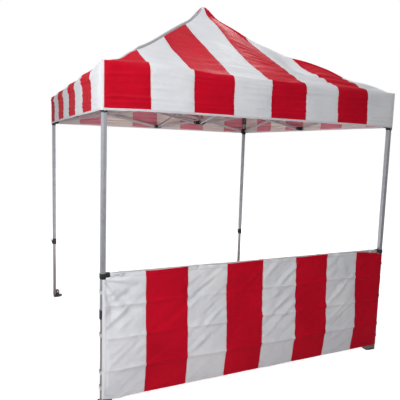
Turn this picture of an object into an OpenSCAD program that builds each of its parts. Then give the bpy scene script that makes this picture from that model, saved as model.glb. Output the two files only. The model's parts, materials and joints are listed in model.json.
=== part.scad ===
// Carnival booth: a square pop-up frame of telescoping legs and scissor trusses,
// a striped peaked cover with a valance on every side, and a half wall on a rail
// across the front. The origin is on the ground below the peak, the front is
// towards -Y and lengths are in millimetres.

/* [Cover] */
// Width of the square cover at the eave
cover_w = 2440; // [2200:10:3000]
// Height of the eave above the ground
eave_z = 2216; // [2100:1:2400]
// Rise of the roof that is a straight slope
slope_rise = 650; // [500:10:800]
// Extra rise close to the peak, where the cloth sweeps up
peak_rise = 155; // [0:5:250]
// How sharply the cloth sweeps up at the peak
peak_sweep = 6; // [2:1:8]
// Half the width of the flat top over the peak cap
peak_flat = 30; // [20:1:40]
// Width of the flat shoulder that rests on the corner brackets
shoulder = 36; // [30:1:60]
// Drop of the valance below the eave
valance_drop = 282; // [150:1:400]
// Thickness of the roof cloth with its seams
roof_t = 5; // [3:1:8]
// Thickness of the hanging cloth
cloth_t = 2; // [1:0.5:2]

/* [Legs] */
// Side of the outer leg tube
outer_leg = 32; // [30:1:36]
// Side of the inner leg tube
inner_leg = 27; // [22:1:27]
// Wall of both leg tubes
tube_t = 1.5; // [1:0.5:2]
// Radius of the outer leg tube's corners
leg_r = 4; // [3:0.5:6]
// Distance of each leg's axis from the middle of the booth
leg_half = 1198; // [1080:1:1478]
// Height of the outer leg's lower end at this height setting
outer_foot_z = 600; // [500:10:700]
// Length of the inner leg tube
inner_len = 1200; // [1000:10:1400]
// Wall of the sleeves and brackets that fit round a leg
sleeve_t = 3; // [2:0.5:3]
// Distance between the height settings of the inner leg
hole_pitch = 75; // [50:5:100]
// Side of the square foot plate
foot_w = 90; // [70:1:110]
// Thickness of the foot plate
foot_t = 6; // [4:1:8]
// Height of the flange along one outer edge of the foot plate
flange_h = 62; // [50:1:70]
// Radius of the stake hole in the foot plate
stake_r = 6; // [4:0.5:8]

/* [Truss] */
// Height of the upper truss pivots
upper_z = 2180; // [2150:1:2185]
// Height of the lower truss pivots
lower_z = 1958; // [1900:1:2000]
// Height of a truss bar's section
bar_h = 25; // [20:1:28]
// Thickness of a truss bar's section
bar_t = 12; // [8:1:14]
// Gap between two crossing bars
bar_gap = 2; // [1:0.5:3]
// Thickness of a bracket's ears
ear_t = 3; // [2:0.5:4]
// Radius of the rivets
rivet_r = 4; // [3:0.5:5]
// Radius of the peak pole
pole_r = 12.5; // [10:0.5:14]

/* [Half wall] */
// Height of the half wall's top edge
wall_top = 899; // [700:1:1100]
// Height of the half wall's bottom edge
wall_bottom = 47; // [46:1:100]
// Width of the half wall
wall_w = 2412; // [2300:2:2436]
// Side of the square rail
rail_w = 25; // [20:1:30]
// Height of the rail's axis
rail_z = 884; // [650:1:1050]

/* [Hidden] */

eave = cover_w / 2;
slope_start = eave - shoulder;
roof_steps = 10;
leg_top = eave_z - roof_t - 6;
inner_r = leg_r - tube_t + 0.5;     // corner radius of the inner leg
sleeve = outer_leg + 2 * sleeve_t;
sleeve_r = leg_r + 1;
pin_in = 40;                        // pivot pins stand this far in from a leg's axis
mid_pin = 30;                       // and this far either side of a side's middle
hub_pin = 45;                       // and this far out from the peak pole's axis
corner_pin = leg_half - pin_in;
peak_pin = leg_half - 45;
ear_h = 28;                         // height of an ear at its pin
ear_root = 36;                      // and where it grows from its bracket
web_t = 3;                          // ribs and webs of the mouldings
outer_bar = -bar_gap / 2 - bar_t;   // where each bar's near side lies, from the leg's axis
inner_bar = bar_gap / 2;
bracket_low = upper_z - 136;
slider_low = lower_z - 44;
slider_h = 71;
arm_low = lower_z - 28;             // lower edge of a slider's arms, clear of the way in
button_r = 4;                       // snap buttons and the holes that they spring into
button_z = slider_low + 9;
ring_r = 13;                        // ring round the button on a slider
lock_low = outer_foot_z - 4;
lock_h = 60;
hole_low = lock_low + 30;           // the lowest adjusting hole of an inner leg
clamp_low = rail_z - 22;
clamp_h = 34;
socket_len = 24;
tie_w = 25;
tie_t = 1.5;
tie_gap = 1;
wall_y = -eave;
leg_tie_z = [130, 235, 490, 775];
rail_tie_x = [-1080, -540, 0, 540, 1080];

// Height of the cloth above the ground at distance r from the middle, across a side
function roof_z(r) =
    let (t = min(1, max(0, (slope_start - r) / (slope_start - peak_flat))))
    eave_z + slope_rise * t + peak_rise * pow(t, peak_sweep);

// A square or rectangle with round corners
module rounded_rect(width, depth, r) {
    square([width, depth - 2 * r], center = true);
    square([width - 2 * r, depth], center = true);
    for (x = [-1, 1], y = [-1, 1])
        translate([x * (width / 2 - r), y * (depth / 2 - r)]) circle(r, $fn = 24);
}

// A square tube standing on z = 0
module tube(side, wall, height, r) {
    linear_extrude(height)
        difference() {
            rounded_rect(side, side, r);
            rounded_rect(side - 2 * wall, side - 2 * wall, r - wall);
        }
}

// A plate that stands along X: its children are its outline in X and Z, y its near side
module upright(y, thickness) {
    translate([0, y + thickness, 0]) rotate([90, 0, 0]) linear_extrude(thickness) children();
}

// A round bore along Y through all that lies between y1 and y2
module cross_bore(x, z, r, y1, y2) {
    translate([x, y2 + 1, z]) rotate([90, 0, 0]) cylinder(r = r, h = y2 - y1 + 2, $fn = 24);
}

// Places its children at a corner, turned so that +X and +Y point into the booth
module at_corner(turn) {
    rotate(turn * 90) translate([-leg_half, -leg_half, 0]) children();
}

// An ear: a plate that narrows from its root at x = 0 to a pin at x = reach. A deep one
// has a square cut lower part that reaches down to z = -deep.
module ear(y, reach, deep) {
    tip = ear_h / 2;
    low = deep > 0
        ? [[0, -deep], [reach - 4, -deep], [reach, 4 - deep], [reach + tip * cos(45), -tip * sin(45)]]
        : [[0, -ear_root / 2], [reach, -tip]];
    difference() {
        union() {
            upright(y, ear_t) polygon(concat(low, [[reach, tip], [0, ear_root / 2]]));
            translate([reach, y + ear_t, 0]) rotate([90, 0, 0])
                cylinder(r = tip, h = ear_t, $fn = 32);
        }
        cross_bore(reach, 0, rivet_r, y, y + ear_t);
    }
}

// A fork: a pair of ears either side of the bar whose near side lies at y = bar_y
module fork(reach, bar_y, deep = 0) {
    ear(bar_y - ear_t, reach, deep);
    ear(bar_y + bar_t, reach, deep);
}

// A bar in the XZ plane between two pivots: flat oval tube, drilled at both ends and the middle
module bar(x1, z1, x2, z2, bar_y) {
    span = norm([x2 - x1, z2 - z1]);
    edge_r = 2.5;
    translate([x1, bar_y, z1]) rotate([0, -atan2(z2 - z1, x2 - x1), 0])
        difference() {
            union() {
                translate([0, bar_t / 2, 0]) rotate([90, 0, 90]) linear_extrude(span)
                    rounded_rect(bar_t, bar_h, edge_r);
                for (x = [0, span]) translate([x, bar_t, 0]) rotate([90, 0, 0])
                    cylinder(r = bar_h / 2, h = bar_t, $fn = 32);
            }
            for (x = [0, span / 2, span]) cross_bore(x, 0, rivet_r, 0, bar_t);
        }
}

// A rivet along Y from y1 to y2 with a low head at each end
module rivet(y1, y2) {
    translate([0, y2, 0]) rotate([90, 0, 0]) cylinder(r = rivet_r, h = y2 - y1, $fn = 24);
    translate([0, y1, 0]) rotate([90, 0, 0]) cylinder(r = rivet_r + 2.5, h = 2, $fn = 24);
    translate([0, y2 + 2, 0]) rotate([90, 0, 0]) cylinder(r = rivet_r + 2.5, h = 2, $fn = 24);
}

// The snap button that holds the slider up comes through one face of the outer leg
module outer_leg_tube(turn, button_turn) {
    color("gainsboro") at_corner(turn) {
        translate([0, 0, outer_foot_z])
            tube(outer_leg, tube_t, leg_top - outer_foot_z, leg_r);
        rotate(button_turn) translate([outer_leg / 2 - tube_t, 0, button_z]) rotate([0, 90, 0])
            cylinder(r = button_r, h = tube_t + sleeve_t, $fn = 24);
    }
}

// A row of holes in one face takes the height lock's pin at each setting
module inner_leg_tube(turn, lever_turn) {
    color("silver") at_corner(turn) difference() {
        translate([0, 0, foot_t]) tube(inner_leg, tube_t, inner_len, inner_r);
        for (z = [hole_low:hole_pitch:hole_low + 4 * hole_pitch])
            rotate(lever_turn) translate([0, 0, z]) rotate([0, 90, 0])
                cylinder(r = button_r, h = inner_leg, $fn = 24);
    }
}

// The plate reaches inwards from the leg and has a hole for a ground stake. A flange
// stands up along its front or back edge, with a cut corner and a hole for a tie-down.
module foot_plate(turn, flange_side) {
    low = -inner_leg / 2;
    high = low + foot_w;
    corner_cut = 34;
    stake = high - 28;
    flange_end = low + 66;
    flange_cut = 14;
    color("gray") at_corner(turn) {
        linear_extrude(foot_t) difference() {
            polygon([[low, low], [high, low], [high, high - corner_cut],
                [high - corner_cut, high], [low, high]]);
            translate([stake, stake]) circle(stake_r, $fn = 32);
        }
        mirror([flange_side, -flange_side, 0]) difference() {
            upright(low - web_t, web_t)
                polygon([[low, 0], [flange_end, 0], [flange_end, flange_h - flange_cut],
                    [flange_end - flange_cut, flange_h], [low, flange_h]]);
            cross_bore(flange_end - 17, 36, 5, low - web_t, low);
        }
    }
}

// The collar on the outer leg's lower end: grooved for grip, with a snap lever that
// turns on a pin between two cheeks
module height_lock(turn, lever_turn) {
    cheek = [[-2, 4], [6, 8], [9, 14], [9, 28], [-2, 42]];
    lever = [[1, 12], [8, 16], [13, 40], [22, 50], [19, 55], [8, 46], [1, 30]];
    color("black") at_corner(turn) translate([0, 0, lock_low]) {
        difference() {
            linear_extrude(lock_h) rounded_rect(sleeve, sleeve, sleeve_r);
            translate([0, 0, 4]) linear_extrude(lock_h) rounded_rect(outer_leg, outer_leg, leg_r);
            translate([0, 0, -1]) linear_extrude(lock_h)
                rounded_rect(inner_leg + 2, inner_leg + 2, inner_r);
            for (z = [8:12:44]) translate([0, 0, z]) linear_extrude(7) difference() {
                square(sleeve + 2, center = true);
                rounded_rect(sleeve - 2, sleeve - 2, sleeve_r - 1);
            }
        }
        rotate(lever_turn) translate([sleeve / 2, 0, 0]) {
            for (y = [-10.5, 7.5]) upright(y, 3) polygon(cheek);
            upright(-7, 14) polygon(lever);
            translate([20.5, 7, 52.5]) rotate([90, 0, 0]) cylinder(r = 3, h = 14, $fn = 24);
            translate([5, 11.5, 21]) rotate([90, 0, 0]) cylinder(r = 2.5, h = 23, $fn = 24);
        }
    }
}

// A flat web between the two forks of a corner, from their inner ears outwards
module corner_web(start, z) {
    translate([0, 0, z]) linear_extrude(web_t) difference() {
        polygon([[start, start], [pin_in + 4, start], [start, pin_in + 4]]);
        rounded_rect(outer_leg, outer_leg, leg_r);
    }
}

// The fitting on top of a leg: it carries the cover and the ends of two outer bars. The
// leg shows through a slot in each inner face of its long sleeve.
module corner_bracket(turn) {
    slot_r = 6;
    slot_z = [bracket_low + 20, upper_z - 56];
    color("black") at_corner(turn) {
        difference() {
            translate([0, 0, bracket_low])
                tube(sleeve, sleeve_t, leg_top - bracket_low, sleeve_r);
            for (side = [0, 1]) mirror([side, -side, 0]) {
                for (z = slot_z) cross_bore(0, z, slot_r, outer_leg / 2, sleeve / 2);
                translate([-slot_r, outer_leg / 2 - 1, slot_z[0]])
                    cube([2 * slot_r, sleeve_t + 2, slot_z[1] - slot_z[0]]);
            }
        }
        translate([0, 0, leg_top]) linear_extrude(eave_z - roof_t - leg_top)
            rounded_rect(sleeve, sleeve, sleeve_r);
        for (side = [0, 1]) mirror([side, -side, 0]) translate([sleeve / 2 - 1, 0, upper_z])
            fork(pin_in - sleeve / 2 + 1, outer_bar);
        corner_web(outer_bar + bar_t, upper_z + ear_h / 2 - web_t);
        corner_web(outer_bar + bar_t, upper_z - ear_h / 2);
    }
}

// The sleeve that runs on a leg and carries the ends of two inner bars. A ring at its
// foot goes round the leg's snap button.
module slider(turn, button_turn) {
    color("black") at_corner(turn) {
        difference() {
            union() {
                translate([0, 0, slider_low]) tube(sleeve, sleeve_t, slider_h, sleeve_r);
                rotate(button_turn) translate([outer_leg / 2, 0, button_z]) rotate([0, 90, 0])
                    cylinder(r = ring_r, h = sleeve_t, $fn = 32);
            }
            rotate(button_turn) translate([0, 0, button_z]) rotate([0, 90, 0])
                cylinder(r = button_r + 1, h = sleeve, $fn = 24);
        }
        for (side = [0, 1]) mirror([side, -side, 0]) translate([sleeve / 2 - 1, 0, lower_z])
            fork(pin_in - sleeve / 2 + 1, inner_bar, lower_z - arm_low);
        corner_web(inner_bar + bar_t, lower_z - ear_h / 2);
        corner_web(inner_bar + bar_t, arm_low);
    }
}

// One side's two scissors: outer bars run down to the middle, inner bars run up to it
module side_truss(turn) {
    color("lightgray") rotate(turn * 90) translate([0, -leg_half, 0])
        for (side = [-1, 1]) {
            bar(side * corner_pin, upper_z, side * mid_pin, lower_z, outer_bar);
            bar(side * corner_pin, lower_z, side * mid_pin, upper_z, inner_bar);
        }
}

// The scissors from the middle of each side to the hubs under the peak
module peak_truss() {
    color("lightgray") for (turn = [0:3]) rotate(turn * 90 - 90) {
        bar(peak_pin, upper_z, hub_pin, lower_z, outer_bar);
        bar(peak_pin, lower_z, hub_pin, upper_z, inner_bar);
    }
}

// A rivet for every pivot of the trusses
module truss_rivets() {
    low = outer_bar;
    high = inner_bar + bar_t;
    middle = (upper_z + lower_z) / 2;
    cross_x = (corner_pin + mid_pin) / 2;
    color("dimgray") for (turn = [0:3]) rotate(turn * 90) {
        translate([0, -leg_half, 0]) for (side = [-1, 1]) {
            translate([side * cross_x, 0, middle]) rivet(low, high);
            translate([side * corner_pin, 0, upper_z]) bracket_rivet(outer_bar);
            translate([side * mid_pin, 0, lower_z]) bracket_rivet(outer_bar);
            translate([side * corner_pin, 0, lower_z]) bracket_rivet(inner_bar);
            translate([side * mid_pin, 0, upper_z]) bracket_rivet(inner_bar);
        }
        rotate(-90) {
            translate([(peak_pin + hub_pin) / 2, 0, middle]) rivet(low, high);
            translate([peak_pin, 0, upper_z]) bracket_rivet(outer_bar);
            translate([hub_pin, 0, lower_z]) bracket_rivet(outer_bar);
            translate([peak_pin, 0, lower_z]) bracket_rivet(inner_bar);
            translate([hub_pin, 0, upper_z]) bracket_rivet(inner_bar);
        }
    }
}

module bracket_rivet(bar_y) {
    rivet(bar_y - ear_t, bar_y + bar_t + ear_t);
}

// A bracket at the middle of each side: two side bars and one peak bar end in it
module middle_brackets(z, side_bar, peak_bar) {
    face = side_bar + bar_t + ear_t;
    body = 24;
    color("black") for (turn = [0:3]) rotate(turn * 90) translate([0, -leg_half, z]) {
        for (side = [0, 1]) mirror([side, 0, 0]) fork(mid_pin, side_bar);
        translate([-body / 2, side_bar, -ear_root / 2]) cube([body, bar_t, ear_root]);
        translate([0, face - 1, 0]) rotate(90) mirror([0, 1, 0]) fork(46 - face, peak_bar);
    }
}

// A hub round the peak pole: the inner ends of four peak bars, on a round flange that
// lies on the side away from the bars
module hub(z, peak_bar, flange_side) {
    flange_r = 40;
    flange_z = z + flange_side * (ear_h / 2 + web_t / 2);
    color("black") difference() {
        union() {
            translate([0, 0, z - ear_root / 2]) cylinder(r = 22, h = ear_root, $fn = 48);
            translate([0, 0, flange_z - web_t / 2]) cylinder(r = flange_r, h = web_t, $fn = 48);
            for (turn = [0:3]) rotate(turn * 90) translate([0, 0, z]) fork(hub_pin, peak_bar);
        }
        translate([0, 0, z - ear_h]) cylinder(r = pole_r, h = 2 * ear_h, $fn = 48);
    }
}

module peak_pole() {
    low = lower_z - 30;
    color("silver") translate([0, 0, low]) difference() {
        cylinder(r = pole_r, h = roof_z(0) - roof_t - 50 - low, $fn = 48);
        translate([0, 0, -1]) cylinder(r = pole_r - tube_t, h = 2 * peak_rise + 1000, $fn = 48);
    }
}

// The cap that holds the cover up and spreads its load at the peak: a socket for the
// pole below a dome, stiffened by six ribs
module peak_cap() {
    top = roof_z(0) - roof_t;
    socket_r = pole_r + 3;
    rim_r = 42;
    color("black") translate([0, 0, top]) {
        rotate_extrude($fn = 48)
            polygon([[0, -12], [pole_r, -12], [pole_r, -80], [socket_r, -80], [socket_r, -40],
                [rim_r - 6, -36], [rim_r, -36], [rim_r, -26], [37, -14], [28, -4], [18, 0], [0, 0]]);
        for (turn = [0:60:300]) rotate(turn) upright(-web_t / 2, web_t)
            polygon([[socket_r - 1, -38], [rim_r - 5, -35], [rim_r - 5, -42], [socket_r - 1, -70]]);
    }
}

// One side of the roof: a curved strip of cloth, cut to a triangle by the hips
module roof_panel(turn) {
    radii = [for (i = [0:roof_steps]) slope_start - (slope_start - peak_flat) * i / roof_steps];
    top = concat([[eave, eave_z]], [for (r = radii) [r, roof_z(r)]], [[0, roof_z(0)]]);
    under = [for (i = [len(top) - 1:-1:0]) [top[i][0], top[i][1] - roof_t]];
    color("crimson") rotate(turn * 90) intersection() {
        rotate([90, 0, -90]) translate([0, 0, -eave]) linear_extrude(cover_w)
            polygon(concat(top, under));
        linear_extrude(eave_z + slope_rise + peak_rise + 1)
            polygon([[0, 0], [-eave, -eave], [eave, -eave]]);
    }
}

// The strip that hangs from the eave, mitred at the corners
module valance(turn) {
    color("crimson") rotate(turn * 90)
        translate([0, 0, eave_z - valance_drop]) linear_extrude(valance_drop - roof_t)
            polygon([[-eave, -eave], [eave, -eave],
                [eave - cloth_t, -eave + cloth_t], [-eave + cloth_t, -eave + cloth_t]]);
}

module wall_rail() {
    length = 2 * (leg_half - sleeve / 2);
    color("gainsboro") translate([-length / 2, -leg_half, rail_z]) rotate([0, 90, 0])
        tube(rail_w, tube_t, length, 3);
}

// A split band round each front leg, drawn tight by a bolt behind it, with a socket for
// the rail's end
module rail_clamps() {
    socket = rail_w + 2 * sleeve_t;
    lug = [6, 9.5, 20];
    head_r = 4;
    middle = clamp_low + clamp_h / 2;
    color("black") for (side = [0, 1]) mirror([side, 0, 0]) translate([-leg_half, -leg_half, 0]) {
        translate([0, 0, clamp_low]) tube(sleeve, sleeve_t, clamp_h, sleeve_r);
        translate([sleeve / 2, 0, rail_z]) rotate([0, 90, 0])
            tube(socket, sleeve_t, socket_len, 4);
        for (x = [-8, 2]) translate([x, sleeve / 2 - 1, middle - lug.z / 2]) cube(lug);
        translate([-12, sleeve / 2 + head_r, middle]) rotate([0, 90, 0]) {
            cylinder(r = 2.5, h = 24, $fn = 24);
            cylinder(r = head_r, h = 4, $fn = 6);
            translate([0, 0, 20]) cylinder(r = head_r, h = 4, $fn = 6);
        }
    }
}

// Its upper corners are cut away round the rail clamps
module half_wall() {
    notch_w = wall_w / 2 - leg_half + sleeve / 2 + socket_len + 3;
    notch_h = wall_top - clamp_low + 3;
    color("crimson") upright(wall_y, cloth_t) translate([0, wall_bottom]) difference() {
        translate([-wall_w / 2, 0]) square([wall_w, wall_top - wall_bottom]);
        for (side = [-1, 1]) translate([side * (wall_w - notch_w) / 2, wall_top - wall_bottom])
            square([notch_w, 2 * notch_h], center = true);
    }
}

// The loops sewn to the back of the half wall, round the rail and the front legs
module wall_ties() {
    back = wall_y + cloth_t;
    rail_face = -leg_half - rail_w / 2;
    reach = outer_leg + 2 * tie_gap;
    color("white") {
        for (x = rail_tie_x) translate([x - tie_w / 2, 0, 0]) difference() {
            translate([0, back, rail_z - rail_w / 2 - tie_t])
                cube([tie_w, rail_face - back + rail_w + tie_t, rail_w + 2 * tie_t]);
            translate([-1, rail_face, rail_z - rail_w / 2]) cube([tie_w + 2, rail_w, rail_w]);
        }
        for (side = [-1, 1]) for (z = leg_tie_z) translate([side * leg_half, 0, z]) difference() {
            translate([-reach / 2 - tie_t, back, -tie_w / 2])
                cube([reach + 2 * tie_t, -leg_half - back + reach / 2 + tie_t, tie_w]);
            translate([-reach / 2, back + tie_t, -tie_w])
                cube([reach, -leg_half - back + reach / 2 - tie_t, 2 * tie_w]);
        }
    }
}

outer_leg_tube(0, -90);  // outer_leg_fl
outer_leg_tube(1, 180);  // outer_leg_fr
outer_leg_tube(2, 180);  // outer_leg_br
outer_leg_tube(3, -90);  // outer_leg_bl
inner_leg_tube(0, 0);  // inner_leg_fl
inner_leg_tube(1, 90);  // inner_leg_fr
inner_leg_tube(2, 0);  // inner_leg_br
inner_leg_tube(3, -90);  // inner_leg_bl
foot_plate(0, 0);  // foot_plate_fl
foot_plate(1, 1);  // foot_plate_fr
foot_plate(2, 0);  // foot_plate_br
foot_plate(3, 1);  // foot_plate_bl
height_lock(0, 0);  // height_lock_fl
height_lock(1, 90);  // height_lock_fr
height_lock(2, 0);  // height_lock_br
height_lock(3, -90);  // height_lock_bl
corner_bracket(0);  // corner_bracket_fl
corner_bracket(1);  // corner_bracket_fr
corner_bracket(2);  // corner_bracket_br
corner_bracket(3);  // corner_bracket_bl
slider(0, -90);  // slider_fl
slider(1, 180);  // slider_fr
slider(2, 180);  // slider_br
slider(3, -90);  // slider_bl
side_truss(0);  // truss_front
side_truss(1);  // truss_right
side_truss(2);  // truss_back
side_truss(3);  // truss_left
peak_truss();
truss_rivets();
middle_brackets(upper_z, inner_bar, outer_bar);  // upper_brackets
middle_brackets(lower_z, outer_bar, inner_bar);  // lower_brackets
hub(upper_z, inner_bar, 1);  // upper_hub
hub(lower_z, outer_bar, -1);  // lower_hub
peak_pole();
peak_cap();
roof_panel(0);  // roof_front
roof_panel(1);  // roof_right
roof_panel(2);  // roof_back
roof_panel(3);  // roof_left
valance(0);  // valance_front
valance(1);  // valance_right
valance(2);  // valance_back
valance(3);  // valance_left
wall_rail();
rail_clamps();
half_wall();
wall_ties();
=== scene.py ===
# The finish of a pop-up carnival booth: striped cover, valances, half wall and steel frame.
# Lengths are in metres, the front of the booth is towards -Y and the ground is at z = 0.
import json
import math

import bpy
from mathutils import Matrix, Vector, noise

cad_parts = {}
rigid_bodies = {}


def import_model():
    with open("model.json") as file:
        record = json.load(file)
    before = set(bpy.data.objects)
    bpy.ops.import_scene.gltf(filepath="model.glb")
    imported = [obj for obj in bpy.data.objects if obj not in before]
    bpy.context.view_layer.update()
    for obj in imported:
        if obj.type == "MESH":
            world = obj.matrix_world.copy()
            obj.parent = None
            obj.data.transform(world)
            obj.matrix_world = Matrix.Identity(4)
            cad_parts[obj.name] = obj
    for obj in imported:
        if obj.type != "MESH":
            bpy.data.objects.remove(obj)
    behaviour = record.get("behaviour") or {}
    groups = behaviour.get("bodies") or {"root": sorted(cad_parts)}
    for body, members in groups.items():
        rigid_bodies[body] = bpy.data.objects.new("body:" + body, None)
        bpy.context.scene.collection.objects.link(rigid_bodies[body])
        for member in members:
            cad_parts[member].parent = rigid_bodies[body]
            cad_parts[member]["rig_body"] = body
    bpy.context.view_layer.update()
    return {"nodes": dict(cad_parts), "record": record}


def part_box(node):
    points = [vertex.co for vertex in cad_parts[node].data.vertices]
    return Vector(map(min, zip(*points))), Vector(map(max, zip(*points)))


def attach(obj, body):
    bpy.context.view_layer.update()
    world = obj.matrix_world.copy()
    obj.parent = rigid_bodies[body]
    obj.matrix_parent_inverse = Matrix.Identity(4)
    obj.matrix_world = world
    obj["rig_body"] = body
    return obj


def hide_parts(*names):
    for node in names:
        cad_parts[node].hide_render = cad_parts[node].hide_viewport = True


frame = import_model()
nodes = frame["nodes"]
slotOf = {part["node"]: part["material_slot"] for part in frame["record"]["subparts"]}
sides = ("front", "right", "back", "left")
frontSide, rightSide, backSide, leftSide = range(4)   # anticlockwise, as seen from above
view = bpy.context.scene
view.view_settings.view_transform = "Standard"
print("frame loaded:", len(nodes), "nodes")


# Camera, at eye level to the left of the front

cameraLook = {
    "place": (-1.841, -4.005, 1.707),
    "turn": (83.544, -1.793, -24.872),   # degrees about X, Y and Z
    "lens": 40.60,
    "sensor": 36.0,
}


def addCamera(look):
    turn = [math.radians(a) for a in look["turn"]]
    bpy.ops.object.camera_add(location=look["place"], rotation=turn)
    camera = bpy.context.object
    camera.data.lens = look["lens"]
    camera.data.sensor_width = look["sensor"]
    camera.data.clip_end = 200
    view.camera = camera


addCamera(cameraLook)
print("camera placed")


# Working habits: one thing selected, modifiers applied, places kept in the mesh

def pick(piece):
    if bpy.context.mode != "OBJECT":
        bpy.ops.object.mode_set(mode="OBJECT")
    bpy.ops.object.select_all(action="DESELECT")
    piece.select_set(True)
    bpy.context.view_layer.objects.active = piece


def editAll(piece, *steps):
    # each step is a mesh operator with its settings, for the whole of the piece
    pick(piece)
    bpy.ops.object.mode_set(mode="EDIT")
    bpy.ops.mesh.select_all(action="SELECT")
    for operator, settings in steps:
        operator(**settings)
    bpy.ops.object.mode_set(mode="OBJECT")


def finishWith(piece, kind, **settings):
    pick(piece)
    modifier = piece.modifiers.new(kind.title(), kind)
    for name, value in settings.items():
        setattr(modifier, name, value)
    bpy.ops.object.modifier_apply(modifier=modifier.name)


def smoothEdges(piece, degrees):
    pick(piece)
    bpy.ops.object.shade_smooth_by_angle(angle=math.radians(degrees))


def paint(piece, *materials):
    for material in materials:
        piece.data.materials.append(material)


def keep(piece, body, slot, *replaced):
    pick(piece)
    bpy.ops.object.transform_apply(location=True, rotation=True, scale=True)
    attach(piece, body)
    if replaced:
        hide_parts(*replaced)


def ease(low, high, value):
    # 0 below low, 1 above high and smooth between them
    t = min(1.0, max(0.0, (value - low) / (high - low)))
    return t * t * (3 - 2 * t)


def ridge(distance, width):
    # 1 on a line, and almost nothing at twice the width from it
    return math.exp(-(distance / width) ** 2)


def wobble(x, y, z):
    return noise.noise((x, y, z))


# Materials

waveRepeat = 0.314   # a wave texture of scale 1 repeats at this distance


def fromHex(code):
    def toLinear(c):
        return c / 12.92 if c <= 0.04045 else ((c + 0.055) / 1.055) ** 2.4
    return tuple(toLinear(int(code[i:i + 2], 16) / 255) for i in (1, 3, 5)) + (1.0,)


def addNode(tree, kind, settings=None):
    # a setting is a socket, by name or number, or the node's own; another node's output is linked
    node = tree.nodes.new(kind)
    for name, value in (settings or {}).items():
        if isinstance(name, str) and name not in node.inputs:
            setattr(node, name, value)
        elif isinstance(value, bpy.types.NodeSocket):
            tree.links.new(value, node.inputs[name])
        else:
            node.inputs[name].default_value = value
    return node


def newTree(block):
    block.use_nodes = True
    block.node_tree.nodes.clear()
    return block.node_tree


def patches(tree, pattern, low, high, first, second):
    # the first colour passes into the second as the pattern rises from low to high
    share = addNode(tree, "ShaderNodeMapRange", {"Value": pattern, "From Min": low, "From Max": high})
    return addNode(tree, "ShaderNodeMix", {
        "data_type": "RGBA", "Factor": share.outputs["Result"],
        6: fromHex(first), 7: fromHex(second)}).outputs[2]


clothLook = {
    "thread": 0.004,         # real threads are 0.6 mm, drawn coarser so that the weave shows
    "weaveDepth": 0.25,
    "crinkle": 0.055,        # width of the small puckers in the coated cloth
    "crinkleDepth": 0.75,
    "seamPitch": 0.305,      # the stripes are panels sewn edge to edge
    "seamWidth": 0.007,      # half the width of a felled seam
    "stitchRow": 0.0045,     # a row of stitches this far either side of a seam
    "hemWidth": 0.027,
    "hemRow": 0.023,
    "stitch": 0.008,         # real stitches are 3 mm, drawn longer so that they show
    "stitchShare": 0.6,      # of its pitch that a stitch covers
    "threadHalf": 0.0008,    # half the width of the sewing thread, also drawn coarser
}


def sewnPlaces(tree, look):
    # the place on the flat cloth, its stitches, and how far seams, hems and stitches are raised
    clothPlace = addNode(tree, "ShaderNodeUVMap", {"uv_map": "clothMap"}).outputs["UV"]
    hemPlace = addNode(tree, "ShaderNodeUVMap", {"uv_map": "hemMap"}).outputs["UV"]
    onCloth = addNode(tree, "ShaderNodeSeparateXYZ", {"Vector": clothPlace})
    onHem = addNode(tree, "ShaderNodeSeparateXYZ", {"Vector": hemPlace})
    found = {"across": onCloth.outputs["X"], "down": onCloth.outputs["Y"],
             "inward": onHem.outputs["X"], "along": onHem.outputs["Y"]}
    covered = look["stitch"] * look["stitchShare"]
    steps = (
        ("fromSeam", "PINGPONG", "across", look["seamPitch"] / 2),
        ("seamRow", "COMPARE", "fromSeam", look["stitchRow"], look["threadHalf"]),
        ("seamBeat", "FLOORED_MODULO", "down", look["stitch"]),
        ("seamDash", "LESS_THAN", "seamBeat", covered),
        ("seamStitch", "MULTIPLY", "seamRow", "seamDash"),
        ("hemRow", "COMPARE", "inward", look["hemRow"], look["threadHalf"]),
        ("hemBeat", "FLOORED_MODULO", "along", look["stitch"]),
        ("hemDash", "LESS_THAN", "hemBeat", covered),
        ("hemStitch", "MULTIPLY", "hemRow", "hemDash"),
        ("stitches", "MAXIMUM", "seamStitch", "hemStitch"),
        ("felled", "LESS_THAN", "fromSeam", look["seamWidth"]),
        ("turnedIn", "LESS_THAN", "inward", look["hemWidth"]),
        ("doubled", "MAXIMUM", "felled", "turnedIn"),
        ("raised", "ADD", "doubled", "stitches"),
    )
    for name, operation, *values in steps:
        settings = {"operation": operation}
        settings.update({k: found.get(value, value) for k, value in enumerate(values)})
        found[name] = addNode(tree, "ShaderNodeMath", settings).outputs[0]
    return clothPlace, found["stitches"], found["raised"]


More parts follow.
